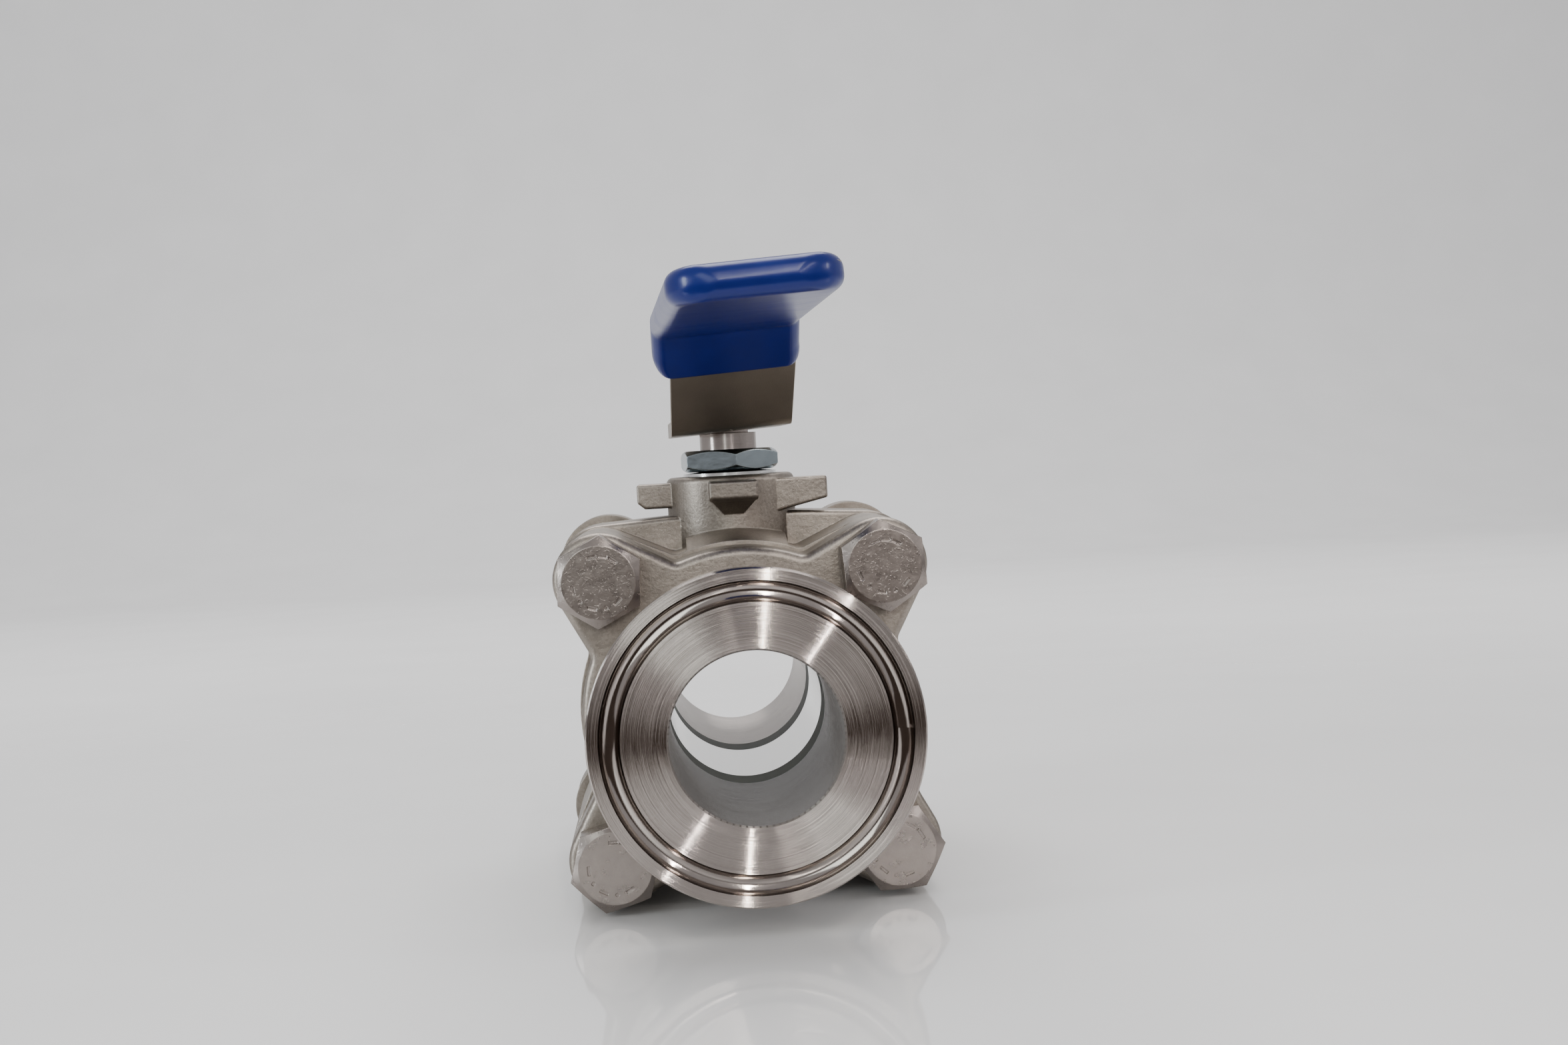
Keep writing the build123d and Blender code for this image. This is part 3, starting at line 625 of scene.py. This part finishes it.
def sleeve_rings(shape):
    """Distance, half width, half thickness and sideways shift of each ring of the sleeve.

    The rings start at the outer tip, run back outside to the mouth, turn in over its lip and run
    forward inside to the inner tip. The tip closes as a half circle in side view and as round
    corners in plan, inside as outside. Towards the mouth the sleeve narrows along a quarter circle
    to the strap.
    """
    tip_rings, body_rings, mouth_rings, inner_rings = 16, 110, 12, 60
    lip_depth, mouth_gap = 0.5 * MM, 0.3 * MM
    sway = 1.6  # the sideways shift changes over from one side to the other at 1 / sway of the length
    whole = strap_path(np.zeros(1), shape)[3]
    inner = shape.thickness / 2 + shape.gap
    outer = inner + shape.wall
    strap = shape.half_width + shape.gap
    tip = whole + shape.tip_wall
    close = np.linspace(0, 1, tip_rings) ** 2
    nose = tip - outer * close
    body = np.linspace(tip - outer, shape.mouth_round, body_rings)[1:]
    lip = np.linspace(0, math.pi / 2, mouth_rings)[1:]
    outside = np.concatenate([nose, body, shape.mouth_round * (1 - np.sin(lip))])
    thick = outer * np.sqrt(1 - (1 - np.minimum(1, (tip - outside) / outer)) ** 2)
    edge = np.clip(1 - outside / lip_depth, 0, 1)
    thick = thick - 0.5 * shape.wall * edge**2
    along = outside / whole
    width = strap + shape.wall + shape.swell * (1 - along)
    short = np.clip(1 - (tip - outside) / shape.tip_round, 0, 1)
    width = width - shape.tip_round * (1 - np.sqrt(1 - short**2))
    near = np.clip(1 - outside / shape.mouth_round, 0, 1)
    width = width - (width - strap - mouth_gap) * (1 - np.sqrt(1 - near**2))
    shift = shape.shift * (1 - sway * along) * np.clip(outside / shape.mouth_round, 0, 1)
    inside = np.concatenate([np.linspace(0, whole + shape.gap, inner_rings), [whole + shape.gap]])
    flat = np.full(len(inside), inner)
    flat[-1] = 0
    near_tip = np.clip(1 - (tip - inside) / shape.tip_round, 0, 1)
    hollow = strap - shape.tip_round * (1 - np.sqrt(1 - near_tip**2))
    rings = [(outside, width, thick, shift), (inside, hollow, flat, 0 * inside)]
    return [np.concatenate(part) for part in zip(*rings)]


def sleeve_surface(shape):
    """The sleeve as a slab's section carried along the strap's path, ring by ring."""
    s, width, thick, shift = sleeve_rings(shape)
    y, z, slope, _ = strap_path(s, shape)
    place_x, place_z, lean_x, lean_z = slab_outline(26, 9)
    radius = np.minimum(thick, shape.edge_round)[:, None]
    x = shift[:, None] + place_x * (width[:, None] - radius) + radius * lean_x
    off = place_z * (thick[:, None] - radius) + radius * lean_z
    back, up = np.sin(slope)[:, None], np.cos(slope)[:, None]
    points = np.stack([x, y[:, None] + off * back, z[:, None] + off * up], -1)
    return on_stem(points.reshape(-1, 3), shape), grid_faces(len(s), len(place_x))


def thread_surface(place, start, end, shape):
    """A screw thread, wound as a helix about a line along Y through the place (x, z).

    The radius at angle a and depth d is the root plus the thread's height times a trapezium wave
    of d / pitch - a / (full turn). It fades to the root near the end, where the last ring steps in
    over the bolt's bevel.
    """
    rings, sides = 34, 48
    turns = np.linspace(0, ROUND, sides + 1)[:-1]
    depth, around = np.meshgrid(np.linspace(start, end, rings), turns, indexing="ij")
    phase = (depth / shape.pitch - around / ROUND) % 1
    steepness = 2.6
    wave = np.clip(steepness * (0.5 - np.abs(2 * phase - 1)) + 0.5, 0, 1)
    fade_length = 0.9 * shape.pitch
    fade = np.clip((end - depth) / fade_length, 0, 1)
    radius = shape.root + (shape.crest - shape.root) * wave * fade
    radius[-1] = shape.root - 0.75 * shape.end_chamfer
    points = np.stack([place[0] + radius * np.cos(around), depth, place[1] + radius * np.sin(around)], -1)
    return points.reshape(-1, 3), grid_faces(*depth.shape)


# ---- Pieces


def settings():
    """The scene, which holds the property groups."""
    return bpy.context.scene


def flow_bore_radius():
    """The radius of the bore, as the part's record states it."""
    mounts = frame["record"]["mounts"]
    return next(mount["dims"]["r_mm"] for mount in mounts if mount["name"] == "flow_bore") * MM


class VALVE_OT_castings(bpy.types.Operator):
    """Finish the body and both end caps: blasted casting with turned ends."""

    bl_idname = "valve.castings"
    bl_label = "Castings"

    def execute(self, context):
        metals = settings().valve_metals
        paint(cast_material(metals), "body")
        turned_from = abs(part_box("body_bolts")[0][1]) - metals.turned_back
        steel = cap_material(metals, turned_from, flow_bore_radius())
        paint(steel, "inlet_end_cap", "outlet_end_cap")
        return {"FINISHED"}


class VALVE_OT_ball_and_seats(bpy.types.Operator):
    """Finish the ball, its seats and the body gaskets."""

    bl_idname = "valve.ball_and_seats"
    bl_label = "Ball and seats"

    def execute(self, context):
        metals, plastics = settings().valve_metals, settings().valve_plastics
        paint(polished_material(metals), "ball", "disc_springs")
        paint(seat_material(plastics), "inlet_seat", "outlet_seat")
        gasket = plastic_material("plain_seal", plastics.packing, 0.55, 0.3 * MM)
        paint(gasket, "inlet_body_gasket", "outlet_body_gasket", "packing_rings")
        return {"FINISHED"}


class VALVE_OT_stem_and_packing(bpy.types.Operator):
    """Finish the stem, the packing and the gland ring."""

    bl_idname = "valve.stem_and_packing"
    bl_label = "Stem and packing"

    def execute(self, context):
        metals, plastics = settings().valve_metals, settings().valve_plastics
        turned = lathe_material("stem_steel", metals.turned, haze_size=5 * MM)
        paint(turned, "stem", "gland_ring", "lever_washer")
        filled = plastic_material("filled_packing", plastics.seat, 0.55, 0.2 * MM)
        paint(filled, "thrust_washer", "packing_base_ring", "packing_top_ring")
        paint(plastic_material("seal_rubber", plastics.rubber, 0.6, 0.1 * MM), "stem_o_ring")
        paint(plated_material(metals), "gland_nut")
        return {"FINISHED"}


class VALVE_OT_lever(bpy.types.Operator):
    """Finish the lever's strap."""

    bl_idname = "valve.lever"
    bl_label = "Lever"

    def execute(self, context):
        paint(strap_material(settings().valve_metals), "lever")
        return {"FINISHED"}


class VALVE_OT_sleeve(bpy.types.Operator):
    """Make the dipped sleeve on the lever."""

    bl_idname = "valve.sleeve"
    bl_label = "Sleeve"

    def execute(self, context):
        vertices, faces = sleeve_surface(settings().valve_sleeve)
        piece = add_piece("sleeve", vertices, faces, sleeve_material(settings().valve_plastics))
        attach(piece, "lever_and_stem")
        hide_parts("lever_sleeve")
        return {"FINISHED"}


class VALVE_OT_fasteners(bpy.types.Operator):
    """Finish the bolts, spring washers and nuts, and cut the threads on the bolts' ends."""

    bl_idname = "valve.fasteners"
    bl_label = "Fasteners"

    def execute(self, context):
        steel = bolt_material(settings().valve_metals)
        paint(steel, "body_bolts", "body_nuts", "lever_nut", "body_spring_washers")
        shape = settings().valve_threads
        low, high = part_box("body_nuts")
        start, end = high[1] - shape.lap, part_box("body_bolts")[1][1]
        points, faces = [], []
        for x in (low[0] + shape.nut_reach, high[0] - shape.nut_reach):
            for z in (low[2] + shape.nut_reach, high[2] - shape.nut_reach):
                ring_points, ring_faces = thread_surface((x, z), start, end, shape)
                faces.append(ring_faces + len(points) * len(ring_points))
                points.append(ring_points)
        threads = add_piece("bolt_threads", np.concatenate(points), np.concatenate(faces), steel)
        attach(threads, "valve_body")
        return {"FINISHED"}


# ---- Stage


ROOM_FRONT, ROOM_HALF_WIDTH, ROOM_HEIGHT = -1.5, 2.2, 2.2
WALL_FOOT, WALL_BEND = 1.2, 0.6  # where the floor starts to rise, and the radius of its sweep
CARD_NEAR, CARD_FAR, CARD_HALF_WIDTH, CARD_LIFT = -0.17, -1.45, 1.5, 1 * MM


def floor_surface(tilt, height):
    """A sheet that falls by the tilt along Y and sweeps up into a wall far behind.

    Its height is zero up to the foot of the wall and then rises along a quarter circle. The fall,
    which is y times the tangent of the tilt, is taken off it.
    """
    turn = np.linspace(0, math.pi / 2, 24)
    y = np.concatenate([[ROOM_FRONT], WALL_FOOT + WALL_BEND * np.sin(turn), [WALL_FOOT + WALL_BEND]])
    z = np.concatenate([[0], WALL_BEND * (1 - np.cos(turn)), [ROOM_HEIGHT]])
    z = z + height - np.clip(y, ROOM_FRONT, WALL_FOOT) * math.tan(tilt)
    x = np.array([-ROOM_HALF_WIDTH, ROOM_HALF_WIDTH])
    points = np.stack([np.repeat(x, len(y)), np.tile(y, 2), np.tile(z, 2)], -1)
    low = np.arange(len(y) - 1)
    faces = np.stack([low, low + len(y), low + len(y) + 1, low + 1], -1)
    return points, faces


def foot_height(tilt):
    """Height at the stem's axis of a plane that leans by the tilt and touches the valve from below."""
    heights = []
    for node in frame["nodes"].values():
        points = np.empty(3 * len(node.data.vertices))
        node.data.vertices.foreach_get("co", points)
        place = np.array(node.matrix_world)
        points = points.reshape(-1, 3) @ place[:3, :3].T + place[:3, 3]
        heights.append((points[:, 2] + points[:, 1] * math.tan(tilt)).min())
    return float(min(heights))


def card_surface(tilt, height):
    """A flat sheet that lies just over the floor, from a little in front of the valve."""
    x, y = np.meshgrid([-CARD_HALF_WIDTH, CARD_HALF_WIDTH], [CARD_NEAR, CARD_FAR])
    points = np.stack([x, y, height + CARD_LIFT - y * math.tan(tilt)], -1).reshape(-1, 3)
    return points, np.array([[0, 2, 3, 1]])


def card_material(stage):
    """The dim colour of the room in front, for reflections alone."""
    shader = Shader("card_dim")
    shader.output(shader.node("ShaderNodeEmission", None, {"Color": rgba(stage.room_front)}))
    return shader.owner


LAMPS = (  # name, place, size, power, tint
    ("ceiling", (0.0, 0.7, 1.5), (1.6, 1.0), 17, (1.0, 0.99, 0.98)),
    ("door_left", (-1.25, -0.45, 0.32), (0.25, 0.5), 4.5, (0.90, 0.97, 1.0)),
    ("lamp_right", (1.25, -0.30, 0.45), (0.08, 0.3), 1.2, (1.0, 0.97, 0.93)),
)
STRIPS = (  # name, clock angle of its glint on a turned face, width, power, tint
    ("strip_above", 7.0, 0.012, 2.1, (1.0, 0.96, 0.90)),
    ("strip_right", 37.5, 0.010, 1.3, (1.0, 0.95, 0.93)),
    ("window_left", -38.0, 0.30, 1.5, (0.93, 1.0, 0.97)),
)
STRIP_DISTANCE = 1.1
STRIP_LEANS = (0.15, 0.60)  # how far a face leans to show the strip's near and far end


def add_light(name, size, power, tint, place, along=(0, 0, 1)):
    """A rectangular area light at a place, facing the valve, its long side along a direction."""
    data = bpy.data.lights.new(name, "AREA")
    data.shape = "RECTANGLE"
    data.size, data.size_y = size
    data.energy = power
    data.color = tint
    light = bpy.data.objects.new(name, data)
    bpy.context.scene.collection.objects.link(light)
    away = np.array(place) / np.linalg.norm(place)
    side = np.cross(along, away)
    side = side / np.linalg.norm(side)
    turn = Matrix(np.stack([side, np.cross(away, side), away], axis=1).tolist()).to_4x4()
    light.matrix_world = Matrix.Translation(place) @ turn


def strip_ends(clock, stage):
    """Both ends of a strip lamp whose glint runs out from the centre at a clock angle.

    A face that leans by t towards the clock angle has the normal h = (t sin, -1, t cos). It mirrors
    the camera's direction v to the lamp's direction 2 (h.v) h / (h.h) - v.
    """
    view = np.array(stage.camera_place) / np.linalg.norm(stage.camera_place)
    ends = []
    for lean in STRIP_LEANS:
        face = np.array([lean * math.sin(clock), -1, lean * math.cos(clock)])
        ends.append(STRIP_DISTANCE * (2 * (face @ view) * face / (face @ face) - view))
    return ends


def add_strip(name, clock, width, power, tint, stage):
    """A strip lamp between the two ends that its clock angle gives."""
    near, far = strip_ends(math.radians(clock), stage)
    size = (width, float(np.linalg.norm(far - near)))
    add_light(name, size, power, tint, ((near + far) / 2).tolist(), far - near)


def room(stage):
    """The room's light: a pale wall behind the valve and above it, and a dim room in front.

    The camera itself sees the pale wall on every side.
    """
    world = bpy.data.worlds.new("room")
    world.use_nodes = True
    world.node_tree.nodes.clear()
    shader = Shader(world)
    x, y, z = shader.parts(shader.point)
    pale = (y - x * 0.15).step(-0.30, 0.35).math("MAXIMUM", z.step(0.5, 0.98) * 0.5)
    seen = shader.node("ShaderNodeLightPath", output="Is Camera Ray")
    light = shader.mix(pale.math("MAXIMUM", seen), stage.room_front, stage.room_back)
    glow = shader.node("ShaderNodeBackground", None, {"Color": light, "Strength": 1.0})
    shader.output(glow, "ShaderNodeOutputWorld")
    return world


def add_camera(stage):
    """The camera: it looks along Y, turned by its yaw, then its pitch, then its roll."""
    camera = bpy.data.objects.new("camera", bpy.data.cameras.new("camera"))
    bpy.context.scene.collection.objects.link(camera)
    yaw, pitch, roll = stage.camera_yaw, stage.camera_pitch, stage.camera_roll
    ahead = np.array([math.sin(yaw), math.cos(yaw), 0.0])
    forward = math.cos(pitch) * ahead + np.array([0, 0, math.sin(pitch)])
    level = np.array([math.cos(yaw), -math.sin(yaw), 0.0])
    up = np.cross(level, forward)
    right = math.cos(roll) * level + math.sin(roll) * up
    over = math.cos(roll) * up - math.sin(roll) * level
    turn = Matrix(np.stack([right, over, -forward], axis=1).tolist()).to_4x4()
    camera.matrix_world = Matrix.Translation(stage.camera_place) @ turn
    camera.data.lens = stage.lens
    camera.data.sensor_width = 36
    camera.data.clip_start, camera.data.clip_end = 0.01, 20
    return camera


class VALVE_OT_stage(bpy.types.Operator):
    """Add the pale floor, the lights and the camera."""

    bl_idname = "valve.stage"
    bl_label = "Stage"

    def execute(self, context):
        stage = settings().valve_stage
        scene = bpy.context.scene
        tilt = stage.floor_lean
        floor_height = foot_height(tilt) - stage.clearance
        points, faces = floor_surface(tilt, floor_height)
        floor = add_piece("floor", points, faces, floor_material(stage))

        card = add_piece("front_card", *card_surface(tilt, floor_height), card_material(stage))
        for ray in ("camera", "diffuse", "transmission", "volume_scatter", "shadow"):
            setattr(card, f"visible_{ray}", False)
        scene.world = room(stage)
        for name, place, size, power, tint in LAMPS:
            add_light(name, size, power, tint, place)
        for name, clock, width, power, tint in STRIPS:
            add_strip(name, clock, width, power, tint, stage)

        scene.camera = add_camera(stage)
        scene.view_settings.look = "AgX - Medium High Contrast"
        return {"FINISHED"}


# ---- Add-on


OPERATORS = (
    VALVE_OT_stage,
    VALVE_OT_castings,
    VALVE_OT_ball_and_seats,
    VALVE_OT_stem_and_packing,
    VALVE_OT_lever,
    VALVE_OT_sleeve,
    VALVE_OT_fasteners,
)
GROUPS = {
    "valve_metals": ValveMetals,
    "valve_plastics": ValvePlastics,
    "valve_sleeve": ValveSleeve,
    "valve_threads": ValveThreads,
    "valve_stage": ValveStage,
}


class VALVE_PT_panel(bpy.types.Panel):
    """Lists the valve's operators."""

    bl_label = "Ball valve"
    bl_idname = "VALVE_PT_panel"
    bl_space_type = "VIEW_3D"
    bl_region_type = "UI"
    bl_category = "Valve"

    def draw(self, context):
        for operator in OPERATORS:
            self.layout.operator(operator.bl_idname)


def register():
    for group in GROUPS.values():
        bpy.utils.register_class(group)
    for name, group in GROUPS.items():
        setattr(bpy.types.Scene, name, PointerProperty(type=group))
    for operator in (*OPERATORS, VALVE_PT_panel):
        bpy.utils.register_class(operator)


def unregister():
    for operator in reversed((*OPERATORS, VALVE_PT_panel)):
        bpy.utils.unregister_class(operator)
    for name in GROUPS:
        delattr(bpy.types.Scene, name)
    for group in reversed(GROUPS.values()):
        bpy.utils.unregister_class(group)


def main():
    register()
    for operator in OPERATORS:
        group, name = operator.bl_idname.split(".")
        getattr(getattr(bpy.ops, group), name)()


if __name__ == "__main__":
    main()
